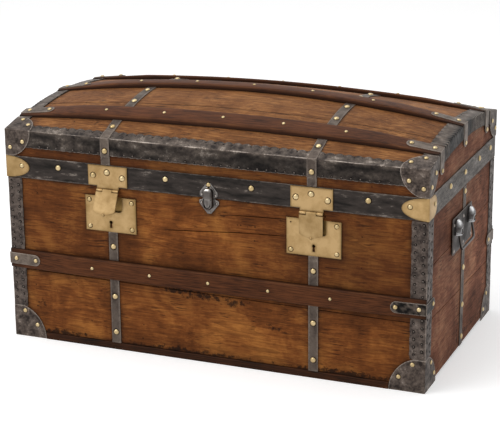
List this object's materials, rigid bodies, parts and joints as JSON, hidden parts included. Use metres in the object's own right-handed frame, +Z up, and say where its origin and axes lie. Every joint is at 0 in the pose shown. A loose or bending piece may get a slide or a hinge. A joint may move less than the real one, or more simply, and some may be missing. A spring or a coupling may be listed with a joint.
{
  "type": "dome top trunk",
  "caption": "Wooden travel trunk bound in sheet iron, with a hinged lid that domes both ways, hasp locks, a lid dowel and drop handles at the ends.",
  "frame": {"origin": "middle of the underside of the base board, on the floor", "axes": "+X to the right along the front, front face towards -Y, +Z up"},
  "size_m": [0.8436, 0.4856, 0.4743],
  "materials": {
    "pine": "aged and waxed, satin",
    "hardwood": "dark stain, worn edges",
    "base_wood": "near black stain",
    "sheet_iron": "dark patina, rubbed bright on the folds",
    "band_iron": "blackened, scuffed",
    "brass": "satin, aged",
    "steel": "dark, polished"
  },
  "bodies": {
    "trunk_body": {"base_board": "base_wood", "base_rail_front": "base_wood", "base_rail_back": "base_wood", "front_wall": "pine", "back_wall": "pine", "left_wall": "pine", "right_wall": "pine", "corner_edgings_front": "sheet_iron", "corner_edgings_back": "sheet_iron", "base_caps_front": "sheet_iron", "base_caps_back": "sheet_iron", "front_slat": "hardwood", "back_slat": "hardwood", "body_slat_clips": "sheet_iron", "front_straps": "sheet_iron", "back_straps": "sheet_iron", "end_straps": "sheet_iron", "lock_plate_left": "brass", "lock_plate_right": "brass", "lock_cases": "brass", "dowel_lower": "steel", "handle_plate_left": "steel", "handle_plate_right": "steel", "handle_ears": "steel", "body_hinge_leaves": "steel", "hinge_pins": "steel", "body_tacks": "brass"},
    "lid": {"lid_front_wall": "pine", "lid_back_wall": "pine", "lid_left_wall": "pine", "lid_right_wall": "pine", "dome_board_1": "pine", "dome_board_2": "pine", "dome_board_3": "pine", "dome_board_4": "pine", "dome_slat_front": "hardwood", "dome_slat_middle": "hardwood", "dome_slat_back": "hardwood", "lid_slat_clips": "sheet_iron", "dome_strap_left": "sheet_iron", "dome_strap_right": "sheet_iron", "binding_front": "sheet_iron", "binding_back": "sheet_iron", "binding_left": "sheet_iron", "binding_right": "sheet_iron", "lid_caps_front": "sheet_iron", "lid_caps_back": "sheet_iron", "lid_band": "band_iron", "band_corners": "brass", "hasp_plates": "brass", "hasp_pins": "brass", "dowel_upper": "steel", "dowel_tongue": "steel", "lid_hinge_leaves": "steel", "lid_tacks": "brass"},
    "hasp_left": {"hasp_left": "brass"},
    "hasp_right": {"hasp_right": "brass"},
    "handle_left": {"handle_left": "steel"},
    "handle_right": {"handle_right": "steel"}
  },
  "joints": [
    {"name": "lid_hinge", "type": "hinge", "parent": "trunk_body", "child": "lid", "pos_m": [0, 0.229, 0.315], "axis": [-1, 0, 0], "range_deg": [0, 100]},
    {"name": "hasp_left_hinge", "type": "hinge", "parent": "lid", "child": "hasp_left", "pos_m": [-0.1975, -0.2275, 0.309], "axis": [-1, 0, 0], "range_deg": [-25, 105]},
    {"name": "hasp_right_hinge", "type": "hinge", "parent": "lid", "child": "hasp_right", "pos_m": [0.1965, -0.2275, 0.309], "axis": [-1, 0, 0], "range_deg": [0, 130]},
    {"name": "handle_left_hinge", "type": "hinge", "parent": "trunk_body", "child": "handle_left", "pos_m": [-0.413, -0.009, 0.25], "axis": [0, 1, 0], "range_deg": [-8, 85]},
    {"name": "handle_right_hinge", "type": "hinge", "parent": "trunk_body", "child": "handle_right", "pos_m": [0.413, -0.009, 0.25], "axis": [0, -1, 0], "range_deg": [-8, 85]}
  ]
}
